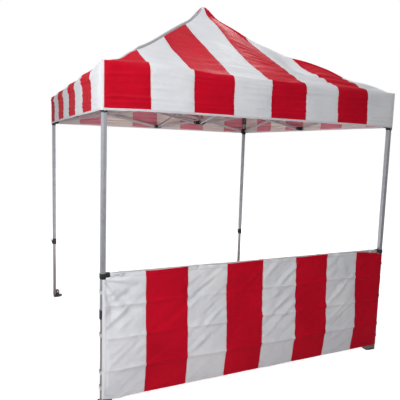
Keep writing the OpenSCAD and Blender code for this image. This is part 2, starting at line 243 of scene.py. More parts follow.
def cloth(name, colour, shadow, thread, roughness, coat, look=clothLook):
    # coated woven polyester: flat colour with a faint weave, small puckers and stitched seams
    material = bpy.data.materials.new(name)
    tree = newTree(material)
    place, stitches, raised = sewnPlaces(tree, look)
    threads = [addNode(tree, "ShaderNodeTexWave", {
        "bands_direction": way, "Vector": place,
        "Scale": waveRepeat / look["thread"]}).outputs["Fac"] for way in ("X", "Y")]
    weave = addNode(tree, "ShaderNodeMath", {"operation": "MAXIMUM", 0: threads[0], 1: threads[1]})
    pucker = addNode(tree, "ShaderNodeTexNoise", {
        "Vector": place, "Scale": 1 / look["crinkle"], "Detail": 5.0, "Roughness": 0.6, "Distortion": 0.4})
    cloud = addNode(tree, "ShaderNodeTexNoise", {"Vector": place, "Scale": 3.0, "Detail": 3.0})
    dyed = patches(tree, cloud.outputs["Fac"], 0.30, 0.62, shadow, colour)
    base = addNode(tree, "ShaderNodeMix", {
        "data_type": "RGBA", "Factor": stitches, 6: dyed, 7: fromHex(thread)})
    weaveBump = addNode(tree, "ShaderNodeBump", {
        "Strength": look["weaveDepth"], "Distance": 0.0004, "Height": weave.outputs[0]})
    puckerBump = addNode(tree, "ShaderNodeBump", {
        "Strength": look["crinkleDepth"], "Distance": 0.007, "Height": pucker.outputs["Fac"],
        "Normal": weaveBump.outputs["Normal"]})
    seamBump = addNode(tree, "ShaderNodeBump", {
        "Strength": 0.8, "Distance": 0.0012, "Height": raised, "Normal": puckerBump.outputs["Normal"]})
    shader = addNode(tree, "ShaderNodeBsdfPrincipled", {
        "Base Color": base.outputs[2], "Roughness": roughness, "Specular IOR Level": 0.02,
        "Coat Weight": coat, "Coat Roughness": 0.32, "Normal": seamBump.outputs["Normal"]})
    addNode(tree, "ShaderNodeOutputMaterial", {"Surface": shader.outputs["BSDF"]})
    return material


def powderCoat(name, colour, shadow, roughness, metallic, grain=0.0016, shadowLine=0.0):
    # powder coated steel: a fine orange peel that breaks up the highlight, soft scuffs all over,
    # and on the feet a painted contact shadow: a dark line along the edge that stands on the ground
    material = bpy.data.materials.new(name)
    tree = newTree(material)
    place = addNode(tree, "ShaderNodeTexCoord").outputs["Object"]
    peel = addNode(tree, "ShaderNodeTexNoise", {"Vector": place, "Scale": 1 / grain, "Detail": 2.0})
    scuff = addNode(tree, "ShaderNodeTexNoise", {
        "Vector": place, "Scale": 14.0, "Detail": 6.0, "Roughness": 0.7}).outputs["Fac"]
    base = patches(tree, scuff, 0.32, 0.58, shadow, colour)
    if shadowLine:
        # painted shadow: the colour falls to 12 per cent at the lowest few millimetres, where the feet meet
        # the ground
        height = addNode(tree, "ShaderNodeSeparateXYZ", {"Vector": place}).outputs["Z"]
        shadowFade = addNode(tree, "ShaderNodeMapRange", {
            "Value": height, "From Min": shadowLine - 0.003, "From Max": shadowLine, "To Min": 0.12, "To Max": 1.0})
        base = addNode(tree, "ShaderNodeVectorMath", {
            "operation": "SCALE", "Vector": base, "Scale": shadowFade.outputs["Result"]}).outputs["Vector"]
    gloss = addNode(tree, "ShaderNodeMapRange", {
        "Value": scuff, "From Min": 0.3, "From Max": 0.7,
        "To Min": roughness - 0.08, "To Max": roughness + 0.1})
    bump = addNode(tree, "ShaderNodeBump", {
        "Strength": 0.12, "Distance": 0.0004, "Height": peel.outputs["Fac"]})
    shader = addNode(tree, "ShaderNodeBsdfPrincipled", {
        "Base Color": base, "Roughness": gloss.outputs["Result"], "Metallic": metallic,
        "Normal": bump.outputs["Normal"]})
    addNode(tree, "ShaderNodeOutputMaterial", {"Surface": shader.outputs["BSDF"]})
    return material


def drawnZinc(name, colour, shadow):
    # zinc plated tube: streaks along its length from drawing and from sliding in the outer tube
    material = bpy.data.materials.new(name)
    tree = newTree(material)
    place = addNode(tree, "ShaderNodeTexCoord").outputs["Object"]
    along = addNode(tree, "ShaderNodeMapping", {"Vector": place, "Scale": (260.0, 260.0, 5.0)})
    streak = addNode(tree, "ShaderNodeTexNoise", {
        "Vector": along.outputs["Vector"], "Scale": 1.0, "Detail": 4.0}).outputs["Fac"]
    gloss = addNode(tree, "ShaderNodeMapRange", {
        "Value": streak, "From Min": 0.3, "From Max": 0.7, "To Min": 0.42, "To Max": 0.6})
    bump = addNode(tree, "ShaderNodeBump", {"Strength": 0.1, "Distance": 0.0003, "Height": streak})
    shader = addNode(tree, "ShaderNodeBsdfPrincipled", {
        "Base Color": patches(tree, streak, 0.35, 0.65, shadow, colour),
        "Roughness": gloss.outputs["Result"], "Metallic": 0.35, "Normal": bump.outputs["Normal"]})
    addNode(tree, "ShaderNodeOutputMaterial", {"Surface": shader.outputs["BSDF"]})
    return material


def mouldedNylon(name, colour, rubbed):
    # black moulded nylon: a fine spark eroded grain, with patches rubbed greyer
    material = bpy.data.materials.new(name)
    tree = newTree(material)
    place = addNode(tree, "ShaderNodeTexCoord").outputs["Object"]
    grain = addNode(tree, "ShaderNodeTexNoise", {"Vector": place, "Scale": 900.0, "Detail": 2.0})
    rub = addNode(tree, "ShaderNodeTexNoise", {"Vector": place, "Scale": 30.0, "Detail": 5.0})
    bump = addNode(tree, "ShaderNodeBump", {
        "Strength": 0.15, "Distance": 0.0003, "Height": grain.outputs["Fac"]})
    shader = addNode(tree, "ShaderNodeBsdfPrincipled", {
        "Base Color": patches(tree, rub.outputs["Fac"], 0.4, 0.7, colour, rubbed),
        "Roughness": 0.46, "Normal": bump.outputs["Normal"]})
    addNode(tree, "ShaderNodeOutputMaterial", {"Surface": shader.outputs["BSDF"]})
    return material


def platedSteel(name, colour, roughness):
    # zinc plated fasteners: bright, with a soft mottle
    material = bpy.data.materials.new(name)
    tree = newTree(material)
    place = addNode(tree, "ShaderNodeTexCoord").outputs["Object"]
    mottle = addNode(tree, "ShaderNodeTexNoise", {"Vector": place, "Scale": 220.0, "Detail": 3.0})
    gloss = addNode(tree, "ShaderNodeMapRange", {
        "Value": mottle.outputs["Fac"], "To Min": roughness - 0.08, "To Max": roughness + 0.12})
    shader = addNode(tree, "ShaderNodeBsdfPrincipled", {
        "Base Color": fromHex(colour), "Roughness": gloss.outputs["Result"], "Metallic": 1.0})
    addNode(tree, "ShaderNodeOutputMaterial", {"Surface": shader.outputs["BSDF"]})
    return material


def webbing(name, colour, shadow, rib=0.003):
    # woven polyester tape: ribbed across its width, matt, with painted shade in the grooves between the ribs
    material = bpy.data.materials.new(name)
    tree = newTree(material)
    place = addNode(tree, "ShaderNodeTexCoord").outputs["Object"]
    ribs = addNode(tree, "ShaderNodeTexWave", {
        "bands_direction": "Z", "Vector": place, "Scale": waveRepeat / rib}).outputs["Fac"]
    bump = addNode(tree, "ShaderNodeBump", {"Strength": 0.4, "Distance": 0.0006, "Height": ribs})
    # painted shade: the colour darkens in the grooves between the ribs, following the bump's pattern
    shader = addNode(tree, "ShaderNodeBsdfPrincipled", {
        "Base Color": patches(tree, ribs, 0.1, 0.6, shadow, colour),
        "Roughness": 0.8, "Sheen Weight": 0.3, "Normal": bump.outputs["Normal"]})
    addNode(tree, "ShaderNodeOutputMaterial", {"Surface": shader.outputs["BSDF"]})
    return material


redCloth = cloth("redCoatedPolyester", "#cf0f2a", "#c00c26", "#a50a20", 0.6, 0.06)
whiteCloth = cloth("whiteCoatedPolyester", "#e9eaee", "#dfe1e7", "#cfd1d6", 0.6, 0.06)
redLining = cloth("redClothCoatedBack", "#cf8490", "#c27885", "#b06a78", 0.7, 0.02)
whiteLining = cloth("whiteClothCoatedBack", "#dad2cd", "#cfc7c2", "#bdb6b1", 0.7, 0.02)
whiteTape = webbing("whiteBindingTape", "#dcdbdf", "#c8c7cd")
# the hips' binding tape: pale tape given a grey colour, a painted shade
hipTapePaintedShade = webbing("bindingTapeWithPaintedShade", "#bab6bb", "#a9a5aa")
legCoat = powderCoat("silverPowderCoat", "#a1a3aa", "#95979d", 0.5, 0.1)
trussCoat = powderCoat("silverPowderCoatTruss", "#b3b3b6", "#a2a2a6", 0.48, 0.15)
railCoat = powderCoat("palePowderCoat", "#c4c4c6", "#b8b8bb", 0.48, 0.1)
# the feet carry a painted contact shadow in their lowest 14 mm
footCoat = powderCoat("scuffedPressedSteel", "#85827f", "#66625f", 0.55, 0.2, shadowLine=0.014)
tubeZinc = drawnZinc("zincPlatedTube", "#b0adab", "#9b9897")
nylon = mouldedNylon("blackMouldedNylon", "#0c0c0d", "#1d1d1f")
rivetSteel = platedSteel("platedRivetSteel", "#a4a4a6", 0.35)
tieWeb = webbing("whiteHookAndLoopWebbing", "#dcdce0", "#c1c1c9")
clothSet = (redCloth, whiteCloth, redLining, whiteLining)   # slots 0 and 1, and their backs in 2 and 3
redSlot, whiteSlot = 0, 1
print("materials made")


# The frame's own parts: merged copies with their edges broken

finishOf = {   # the material and the width of a broken edge for each of the parts' slots
    "outer_leg": (legCoat, 0.0006),
    "inner_leg": (tubeZinc, 0.0005),
    "foot_plate": (footCoat, 0.0010),
    "joint_plastic": (nylon, 0.0008),
    "truss_bar": (trussCoat, 0.0010),
    "rivet": (rivetSteel, 0.0006),
    "rail": (railCoat, 0.0020),
    "tie_webbing": (tieWeb, 0.0004),
}


def dressNode(name):
    slot = slotOf[name]
    material, edge = finishOf[slot]
    piece = bpy.data.objects.new(name + "_finish", nodes[name].data.copy())
    bpy.context.collection.objects.link(piece)
    pick(piece)
    bpy.ops.mesh.customdata_custom_splitnormals_clear()
    editAll(piece, (bpy.ops.mesh.remove_doubles, {"threshold": 0.00002}),
            (bpy.ops.mesh.dissolve_limited, {"angle_limit": math.radians(0.5)}))
    finishWith(piece, "BEVEL", width=edge, segments=2, limit_method="ANGLE", angle_limit=math.radians(40))
    piece.data.materials.clear()
    paint(piece, material)
    smoothEdges(piece, 35)
    keep(piece, nodes[name]["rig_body"], slot, name)


for nodeName in sorted(nodes):
    if slotOf[nodeName] in finishOf:
        dressNode(nodeName)
print("frame parts dressed")


# Cloth sheets: meshes with a flat map for the weave and one for the distance from a hem

def newSheet():
    return {"points": [], "faces": [], "slots": [], "maps": [], "hems": []}


def addFace(sheet, face, slot, flat, hem=None):
    sheet["faces"].append(face)
    sheet["slots"].append(slot)
    sheet["maps"] += flat
    sheet["hems"] += hem or [(1.0, 0.0)] * len(face)   # far from any hem


def makeSheet(name, sheet):
    mesh = bpy.data.meshes.new(name)
    mesh.from_pydata(sheet["points"], [], sheet["faces"])
    for layerName, places in (("clothMap", sheet["maps"]), ("hemMap", sheet["hems"])):
        layer = mesh.uv_layers.new(name=layerName)
        layer.data.foreach_set("uv", [value for place in places for value in place])
    mesh.polygons.foreach_set("material_index", sheet["slots"])
    mesh.polygons.foreach_set("use_smooth", [True] * len(sheet["faces"]))
    mesh.update()
    piece = bpy.data.objects.new(name, mesh)
    bpy.context.collection.objects.link(piece)
    return piece


def giveThickness(piece, thickness):
    # inwards from the sheet, with the two coated backs on its inner side
    finishWith(piece, "SOLIDIFY", thickness=thickness, offset=-1, material_offset=2, use_rim=True)


# The cover: one sheet over the peak, down the four slopes and down the valances

coverLook = {
    "cellsPerStripe": (14, 16, 20, 26),   # finer towards the eave, where the folds are
    "valanceRows": 42,
    "eaveRows": (0.004, 0.010, 0.018, 0.028),   # closer rows just under the eave
    "eaveStep": 0.005,         # the eave is this far above the valance solids
    "shoulder": 0.036,         # how far the cloth lies level inside the eave
    "peakFlat": 0.024,         # and how far round the peak
    "straightShare": 0.8075,   # of the rise, the rest sweeps up at the peak
    "sweep": 6,                # the power of that curve
    "thickness": 0.0012,
    "slopeSag": 0.006,         # of the slopes other than the front one
    "cornerRound": 0.014,      # of the upright corners, in plan
    "eaveBend": (0.014, 0.058),   # how far the eave's bend reaches, crisp and slack
    "frontLean": 0.010,        # the front's stripes drift to the right as they hang
    "seamDraw": (0.0016, 0.003),   # how deep a seam draws the cloth in, on slope and valance
    "seamReach": 0.010,        # and how far to either side
    "lifts": ((-0.85, -1.20, 0.24, 0.026), (-1.22, -1.22, 0.16, 0.006)),   # x, y, reach and height
    # where the truss pushes the cloth up and where it hangs slack: x, y, reach along each and height
    "swells": ((0.04, -0.28, 0.20, 0.30, 0.090), (-0.22, -0.52, 0.18, 0.46, 0.040),
               (0.52, -0.76, 0.10, 0.20, -0.060), (0.14, -0.12, 0.48, 0.38, -0.052),
               (1.00, -0.92, 0.14, 0.10, -0.028), (-0.50, -0.12, 0.16, 0.24, 0.064),
               (0.34, -0.12, 0.14, 0.14, 0.054), (0.24, -0.04, 0.24, 0.16, -0.050),
               (0.00, 0.44, 0.18, 0.22, 0.050)),
    # the front left hip: distance from the peak, reach along and across it and height
    "hipSwells": ((0.74, 0.30, 0.12, 0.030), (1.54, 0.10, 0.22, -0.022)),
    # side, end of it from -1 to 1, reach from that end and drop of the hem there
    "hemDrops": ((frontSide, -1, 0.20, 0.008), (leftSide, 1, 0.90, 0.008)),
    "scallopPitch": 0.105,     # from one soft fold over the eave to the next one up
    # diagonal pulls on the front slope: how many, the first one's place, the step to the next
    "pulls": {"count": 5, "first": (0.15, 0.56), "step": (0.012, 0.075), "slant": 28,
              "height": 0.009, "width": 0.015, "length": 0.13},
    # long creases of the valance, from its storage: depth under the eave and height
    "creases": ((0.040, 0.007), (0.068, 0.006), (0.110, 0.004), (0.150, 0.004),
                (0.206, 0.007), (0.234, 0.006)),
    "creaseWidth": 0.008,
}
half = -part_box("valance_front")[0].x
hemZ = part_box("valance_front")[0].z
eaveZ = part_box("valance_front")[1].z + coverLook["eaveStep"]
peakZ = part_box("roof_front")[1].z
fall = eaveZ - hemZ
stripe = half / 4


def roofHeight(r):
    start = half - coverLook["shoulder"]
    t = min(1.0, max(0.0, (start - r) / (start - coverLook["peakFlat"])))
    rise = peakZ - eaveZ
    straight = rise * coverLook["straightShare"]
    return eaveZ + straight * t + (rise - straight) * t ** coverLook["sweep"]


def turned(side, x, y):
    # from a side's own frame, with the side in front, to the booth's
    return ((x, y), (-y, x), (-x, -y), (y, -x))[side]


def nearSeam(u):
    # 1 on a seam between two stripes
    return ridge(((u / stripe + 0.5) % 1 - 0.5) * stripe, coverLook["seamReach"])


def lift(side, u, r):
    # the frame stands a little high at the front left, and its truss shapes the slopes
    x, y = turned(side, u, -r)
    high = swell = 0.0
    for atX, atY, reach, height in coverLook["lifts"]:
        high += height * ridge(math.hypot(x - atX, y - atY), reach)
    for atX, atY, reachX, reachY, height in coverLook["swells"]:
        swell += height * ridge(x - atX, reachX) * ridge(y - atY, reachY)
    down, aside = (-x - y) * math.sqrt(0.5), (x - y) * math.sqrt(0.5)   # along and across the hip
    for away, along, across, height in coverLook["hipSwells"]:
        swell += height * ridge(down - away, along) * ridge(aside, across)
    return high * ease(0.05, 0.4, r) + swell * ease(0.02, 0.12, r) * ease(0.0, 0.2, half - r)


def hemDrop(side, u, drop):
    # the hem hangs lower than its straight line near some corners
    total = 0.0
    for hemSide, end, reach, depth in coverLook["hemDrops"]:
        if side == hemSide:
            total += depth * ridge(half - end * u, reach)
    return total * drop / fall


def eaveBend(side, u):
    # the eave is crisp over the frame's brackets and round where the cloth stands free
    crisp, slack = coverLook["eaveBend"]
    wave = 0.5 - 0.5 * math.cos(math.tau * (u + 2 * stripe) / (2 * stripe))
    free = max(wave, ease(0.25, 0.5, u)) if side == frontSide else wave
    return crisp + (slack - crisp) * free * (1 - ease(half - 0.24, half - 0.05, abs(u)))


def scallops(side, u, r):
    # soft folds one above the other over the eave, deepest to the right of the front
    steps = (half - r) / coverLook["scallopPitch"] + 0.3 * wobble(u * 2.2, side * 7.0, 0.5)
    shape = abs(math.sin(math.pi * steps)) ** 0.7 - 0.5
    if side == frontSide:
        strong = 0.003 + 0.018 * ease(0.15, 0.5, u) * (1 - ease(1.02, 1.17, u))
    else:
        strong = 0.004 + 0.009 * max(0.0, wobble(u * 1.3, side * 3.7, 1.5) + 0.2)
    return shape * strong * ease(0, 0.03, half - r) * (1 - ease(2.2, 3.4, steps))


def slopePulls(u, r):
    pulls = coverLook["pulls"]
    slant = math.radians(pulls["slant"])
    total = 0.0
    for k in range(pulls["count"]):
        du = u - pulls["first"][0] - pulls["step"][0] * k
        dr = r - (pulls["first"][1] + pulls["step"][1] * k)
        along = du * math.cos(slant) + dr * math.sin(slant)
        across = dr * math.cos(slant) - du * math.sin(slant)
        total += pulls["height"] * ridge(across, pulls["width"]) * ridge(along, pulls["length"])
    return total


def slopeFolds(side, u, r):
    # height of the folds on a slope above its smooth shape
    fade = ease(0.0, 0.06, r - abs(u)) * ease(0.05, 0.2, r)
    if side == frontSide:
        broad = slopePulls(u, r)
    else:
        span = max(0.001, half - abs(u))
        broad = -coverLook["slopeSag"] * math.sin(math.pi * min(1, (r - abs(u)) / span))
    drift = 0.004 * wobble(u * 3.0, r * 5.0, side * 5.0)
    drift += 0.0020 * wobble(u * 9.0 + r * 5.0, r * 20.0, side * 5.0 + 3)
    draw = coverLook["seamDraw"][0] * nearSeam(u)
    return fade * (broad + scallops(side, u, r) + drift - draw)


def valanceFolds(side, u, drop):
    # how far the hanging cloth stands out from its plane
    hang = 0.007 * wobble(u * 2.6, drop * 2.0, side * 9.0 + 2) * ease(0.02, 0.15, drop)
    hang += 0.0022 * wobble(u * 9.0 + drop * 8, drop * 14.0, side * 9.0 + 5) * ease(0.01, 0.06, drop)
    belly = (0.012 if side == leftSide else 0.005) * ridge(drop - 0.055, 0.035)
    belly *= (0.6 + 0.4 * math.cos(math.tau * u / stripe)) * ease(0.0, 0.4, half - abs(u))
    creases = 0.0
    for level, depth in coverLook["creases"]:
        wander = level + 0.009 * wobble(u * 3.0, level * 40, side * 2.0)
        there = max(0.0, 0.6 + 1.0 * wobble(u * 4.0, level * 60, side * 3.0 + 1))
        creases += depth * there * ridge(drop - wander, coverLook["creaseWidth"])
    draw = coverLook["seamDraw"][1] * nearSeam(u) * ease(0.02, 0.06, drop)
    fade = ease(0.0, 0.05, half - abs(u))
    return fade * (0.004 + hang + belly - draw + creases * ease(0.01, 0.03, drop))


def coverSection(side, u, v):
    # distance out from the peak's axis and height, with the eave bent in a smooth curve
    drop = max(0.0, v - half)
    rise = lift(side, u, min(v, half))
    bend = eaveBend(side, u)
    if abs(v - half) < bend:
        inner = half - bend
        top = Vector((inner, roofHeight(inner) + slopeFolds(side, u, inner) + rise))
        low = Vector((half + valanceFolds(side, u, bend), eaveZ + rise - bend))
        mid = Vector((half + 0.15 * bend, eaveZ + rise + 0.15 * bend))
        t = (v - inner) / (2 * bend)
        return top * (1 - t) ** 2 + mid * 2 * t * (1 - t) + low * t ** 2
    if drop > 0:
        return Vector((half + valanceFolds(side, u, drop), eaveZ + rise * (1 - drop / fall) - drop))
    return Vector((v, roofHeight(v) + slopeFolds(side, u, v) + rise))


def coverPoint(side, u, v):
    # v runs from the peak: across the slope up to the eave, then down the valance
    drop = max(0.0, v - half)
    out, z = coverSection(side, u, v)
    free = ease(0.0, 0.1, half - abs(u)) * ease(0.02, 0.1, v - abs(u))
    x, y = u + 0.006 * free * wobble(u * 1.7, v * 7.0, side * 4.0 + 9), -out
    if side == frontSide:
        x += coverLook["frontLean"] * free * drop / fall
    # the upright corner edge is rounded in plan
    inner = half - coverLook["cornerRound"]
    dx, dy = abs(x) - inner, -y - inner
    if dx > 0 and dy > 0:
        scale = max(dx, dy) / math.hypot(dx, dy)
        x, y = math.copysign(inner + dx * scale, x), -(inner + dy * scale)
    place = turned(side, x, y)
    return Vector((place[0], place[1], z - hemDrop(side, u, drop)))


def redAt(side, u):
    # seen from outside, each side starts with red on the left
    return int((u + half) / stripe) % 2 == 0


def coverCuts():
    cuts = [0.0]
    for k, cells in enumerate(coverLook["cellsPerStripe"]):
        cuts += [stripe * (k + (i + 1) / cells) for i in range(cells)]
    return [-c for c in reversed(cuts[1:])] + cuts


def flatPlace(x, y):
    # the side that a place of the plan belongs to, how far along it and how far from the peak
    if abs(x) > abs(y):
        side = rightSide if x > 0 else leftSide
    else:
        side = backSide if y > 0 else frontSide
    return side, (x, y, -x, -y)[side], max(abs(x), abs(y))


def addStripedFace(sheet, face, side, flat):
    middle = sum(u for u, v in flat) / len(flat)
    slot = redSlot if redAt(side, middle) else whiteSlot
    addFace(sheet, face, slot, [(u + side * 2 * half, v) for u, v in flat])


def addSlopes(sheet, cuts):
    # a square grid, with the cells on the hips split along the hip
    count = len(cuts)
    sheet["points"] += [coverPoint(*flatPlace(x, y)) for y in cuts for x in cuts]
    for j in range(count - 1):
        for i in range(count - 1):
            ring = [(i, j), (i + 1, j), (i + 1, j + 1), (i, j + 1)]
            loops = [ring]
            if i == j:
                loops = [[ring[0], ring[1], ring[2]], [ring[0], ring[2], ring[3]]]
            elif i + j == count - 2:
                loops = [[ring[0], ring[1], ring[3]], [ring[1], ring[2], ring[3]]]
            for loop in loops:
                spots = [(cuts[a], cuts[b]) for a, b in loop]
                middle = [sum(values) / len(loop) for values in zip(*spots)]
                side = flatPlace(*middle)[0]
                flat = [((x, y, -x, -y)[side], max(abs(x), abs(y))) for x, y in spots]
                addStripedFace(sheet, [b * count + a for a, b in loop], side, flat)


def addValances(sheet, cuts):
    # the eave's own points go round the sheet, and the rows hang from them
    last = len(cuts) - 1
    rim = [(i, 0) for i in range(last)] + [(last, j) for j in range(last)]
    rim += [(i, last) for i in range(last, 0, -1)] + [(0, j) for j in range(last, 0, -1)]
    rows = list(coverLook["eaveRows"])
    rest = coverLook["valanceRows"] - len(rows)
    rows += [rows[-1] + (fall - rows[-1]) * (k + 1) / rest for k in range(rest)]
    upper = [j * len(cuts) + i for i, j in rim]
    upperDrop = 0.0
    for drop in rows:
        lower = [len(sheet["points"]) + n for n in range(len(rim))]
        sheet["points"] += [coverPoint(n // last, cuts[n % last], half + drop) for n in range(len(rim))]
        for n in range(len(rim)):
            m = (n + 1) % len(rim)
            a, b = cuts[n % last], cuts[n % last + 1]
            flat = [(a, half + upperDrop), (a, half + drop), (b, half + drop), (b, half + upperDrop)]
            addStripedFace(sheet, [upper[n], lower[n], lower[m], upper[m]], n // last, flat)
        upper, upperDrop = lower, drop


def buildCover():
    sheet = newSheet()
    addSlopes(sheet, coverCuts())
    addValances(sheet, coverCuts())
    cover = makeSheet("canopy_cover", sheet)
    paint(cover, *clothSet)
    giveThickness(cover, coverLook["thickness"])
    return cover


# The cover's trim: hem tape, corner bindings and the rolled seams of the hips

trimLook = {
    "tapeWidth": 0.012,
    "tapeThickness": 0.0012,
    "tapeOff": 0.0002,         # the tape's inner face lies this far off the cloth
    "bindingWidth": 0.016,     # of the white tape, on each side of an upright corner
    "bindingCells": 4,
    "bindingRows": 30,
    "bindingTop": 0.004,       # how far it goes up over the eave
    "weltHalf": 0.011,         # half the width of a hip's rolled seam
    "weltSteps": 4,            # from its crown to either side
    "weltCells": 24,           # along a stripe
    "weltLean": (0.27, 0.92),  # the way it stands: outwards in x and in y, and up
    "weltSkin": (0.0004, 0.0006),   # how far its sides lie above the cloth, and its underside in it
    "weltStart": (0.03, 0.18), # distances from the peak at which it starts and has its full height
    "tapedHeight": 0.013,      # where it is bound with tape
    "tapedEnd": (0.26, 0.34),  # distances from the eave at which that height is gone and full
    "foldHeight": 0.007,       # where it is the slope's own cloth
    "foldEnd": (0.02, 0.12),
}


def sweepLoops(name, runs, around):
    # each run is a row of cross-sections, and each cross-section a loop of (point, flat place);
    # a run that goes around joins up with its own start, and any other is closed at both ends
    sheet = newSheet()
    for loops, slotAt in runs:
        start, count = len(sheet["points"]), len(loops[0])
        sheet["points"] += [point for loop in loops for point, flat in loop]
        steps = len(loops) if around else len(loops) - 1
        for k in range(steps):
            after = (k + 1) % len(loops)
            for i in range(count):
                j = (i + 1) % count
                ring = [(k, i), (k, j), (after, j), (after, i)]
                face = [start + a * count + b for a, b in ring]
                addFace(sheet, face, slotAt(k), [loops[a][b][1] for a, b in ring])
        if not around:
            for k in (0, len(loops) - 1):
                face = [start + k * count + i for i in range(count)]
                addFace(sheet, face, slotAt(min(k, steps - 1)), [flat for point, flat in loops[k]])
    piece = makeSheet(name, sheet)
    editAll(piece, (bpy.ops.mesh.normals_make_consistent, {"inside": False}))
    smoothEdges(piece, 50)
    return piece


def levelOut(before, after):
    # level direction away from the booth, square to a run that goes round it
    along = after - before
    return Vector((along.y, -along.x, 0)).normalized()


def buildHemTape(look):
    # white tape folded over the valance's lower edge all the way round
    wide, thin, off = look["tapeWidth"], look["tapeThickness"], look["tapeOff"]
    inside = -coverLook["thickness"]
    profile = [(fall - wide, off), (fall - wide, thin), (fall + thin, thin), (fall + thin, inside - thin),
               (fall - wide, inside - thin), (fall - wide, inside), (fall, inside), (fall, off)]
    places = [(side, u) for side in range(4) for u in coverCuts()[:-1]]
    edge = [coverPoint(side, u, half + fall) for side, u in places]
    loops = []
    for n, (side, u) in enumerate(places):
        away = levelOut(edge[n - 1], edge[(n + 1) % len(edge)])
        loops.append([(coverPoint(side, u, half + drop) + away * offset, (u + half, drop))
                      for drop, offset in profile])
    tape = sweepLoops("canopy_hem_tape", [(loops, lambda k: 0)], True)
    paint(tape, whiteTape)
    return tape


def buildCornerBindings(look):
    # white tape folded round the upright seam of the valance at each corner
    wide, top = look["bindingWidth"], look["bindingTop"]
    cells, rows = look["bindingCells"], look["bindingRows"]
    last = 2 * cells
    runs = []
    for corner in range(4):
        across = [((corner - 1) % 4, half - wide * (1 - i / cells)) for i in range(cells + 1)]
        across += [(corner, -half + wide * i / cells) for i in range(1, cells + 1)]
        loops = []
        for k in range(rows + 1):
            drop = -top + (fall + top) * k / rows
            row = [coverPoint(side, u, half + drop) for side, u in across]
            away = [levelOut(row[max(0, i - 1)], row[min(last, i + 1)]) for i in range(last + 1)]
            flat = [(0.15 + 0.004 * i, drop) for i in range(last + 1)]   # clear of the panel seams
            outer = [(row[i] + away[i] * look["tapeThickness"], flat[i]) for i in range(last + 1)]
            inner = [(row[i] + away[i] * look["tapeOff"], flat[i]) for i in range(last + 1)]
            loops.append(outer + inner[::-1])
        runs.append((loops, lambda k: 0))
    bindings = sweepLoops("canopy_corner_bindings", runs, False)
    paint(bindings, whiteTape)
    return bindings


def weltLoops(look, corner, cuts, tall, end):
    # arched cross-sections over a hip, lower towards the peak and the eave
    before, after = (corner - 1) % 4, corner
    turnX, turnY = turned(corner, -1, -1)
    outward, upward = look["weltLean"]
    up = Vector((turnX * outward, turnY * outward, upward))
    above, inside = look["weltSkin"]
    steps = look["weltSteps"]
    loops = []
    for r in cuts:
        rise = ease(*look["weltStart"], r) * ease(*end, half - r)
        top, low = [], []
        for i in range(-steps, steps + 1):
            t = i / steps
            e = abs(t) * look["weltHalf"] / math.sqrt(2)
            side, u = (before, r - e) if t < 0 else (after, e - r)
            skin = coverPoint(side, u, r + e)
            flat = (t * look["weltHalf"], r)
            top.append((skin + up * (tall * rise * math.sqrt(1 - t * t) + above), flat))
            low.append((skin - up * inside, flat))
        loops.append(top + low[::-1])
    return loops


def buildHipWelts(look):
    # each hip's seam is rolled over: bound with tape at the left, coloured grey as painted shade on pale
    # tape, in the slope's cloth at the right
    cells = look["weltCells"]
    cuts = [stripe * i / cells for i in range(3, 4 * cells - 1)]
    runs = []
    for corner in range(4):
        if corner in (0, 3):
            loops = weltLoops(look, corner, cuts, look["tapedHeight"], look["tapedEnd"])
            runs.append((loops, lambda k: 2))
            continue
        # the cloth of the slope that shows from the front is the one rolled over
        side, sign = (corner, -1) if corner == 2 else (corner - 1, 1)

        def slotAt(k, side=side, sign=sign):
            return redSlot if redAt(side, sign * (cuts[k] + cuts[k + 1]) / 2) else whiteSlot
        runs.append((weltLoops(look, corner, cuts, look["foldHeight"], look["foldEnd"]), slotAt))
    welts = sweepLoops("canopy_hip_welts", runs, False)
    paint(welts, redCloth, whiteCloth, hipTapePaintedShade)
    return welts


cover = buildCover()
keep(cover, "frame", "cover_cloth", *["roof_" + s for s in sides], *["valance_" + s for s in sides])
trims = [buildHemTape(trimLook), buildCornerBindings(trimLook), buildHipWelts(trimLook)]
for trim in trims:
    keep(trim, "frame", "cover_cloth")
print("cover made:", len(cover.data.polygons), "faces")


# The half wall: a striped sheet hung on the rail, with hems, storage folds and pulled corners

wallLook = {
    "columns": 170,
    "rows": 150,
    "belly": 0.027,            # how far the lower part stands out
    "pillow": 0.004,           # how far each quarter of the height does
    "creases": ((0.25, 0.021), (0.50, 0.018), (0.75, 0.016)),   # share of the height, how far it stands out
    "creaseFall": (0.018, 0.016),   # how far a crease reaches up and down
    "pullSlant": 38,           # degrees from level
    "pulls": (0.018, 0.006, 0.005),   # heights of the broad, narrow and small pulls in the white panels
    "rays": 0.008,             # height of the folds that fan out from the upper left corner
    "seamDraw": 0.0016,        # how deep a seam draws the cloth in
    "hemStep": 0.0014,         # how far the doubled hem stands out
    "hemSlope": 0.002,         # and the width of the slope up to it
    "thickness": 0.0012,
    "topSag": 0.003,           # half the sag of the top edge in each quarter of the width
    "rightDrop": 0.024,        # the upper right corner hangs lower
    "clampCut": (0.054, 0.030),   # how far in the cloth is cut for a rail clamp's socket and its sleeve
    "clampGap": 0.003,         # between a rail clamp and the cut cloth under it
    "socketStep": 0.006,       # how much higher the socket's underside is than the sleeve's
}
wallLow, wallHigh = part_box("half_wall")
wallHalf = wallHigh.x
wallTall = wallHigh.z - wallLow.z


def quarterFolds(x, z):
    # it was stored folded in four, so each quarter bellies out between sharp creases
    height = (z - wallLow.z) / wallTall
    height += 0.010 * wobble(x * 1.7, 4.0, 0.0) + 0.004 * wobble(x * 7.0, 4.0, 3.0)
    bulge = wallLook["belly"] * min(1, height / 0.25) * (1 - ease(0.3, 0.8, height))
    bulge += wallLook["pillow"] * abs(math.sin(math.pi * 4 * height)) * ease(0, 0.05, 1 - height)
    upward, downward = wallLook["creaseFall"]
    for level, stands in wallLook["creases"]:
        gap = (height - level) * wallTall
        soft = 0.75 + 0.5 * wobble(x * 2.4, level * 30, 8.0)
        bulge += stands * soft * math.exp(-abs(gap) / (upward if gap > 0 else downward))
    return bulge, height


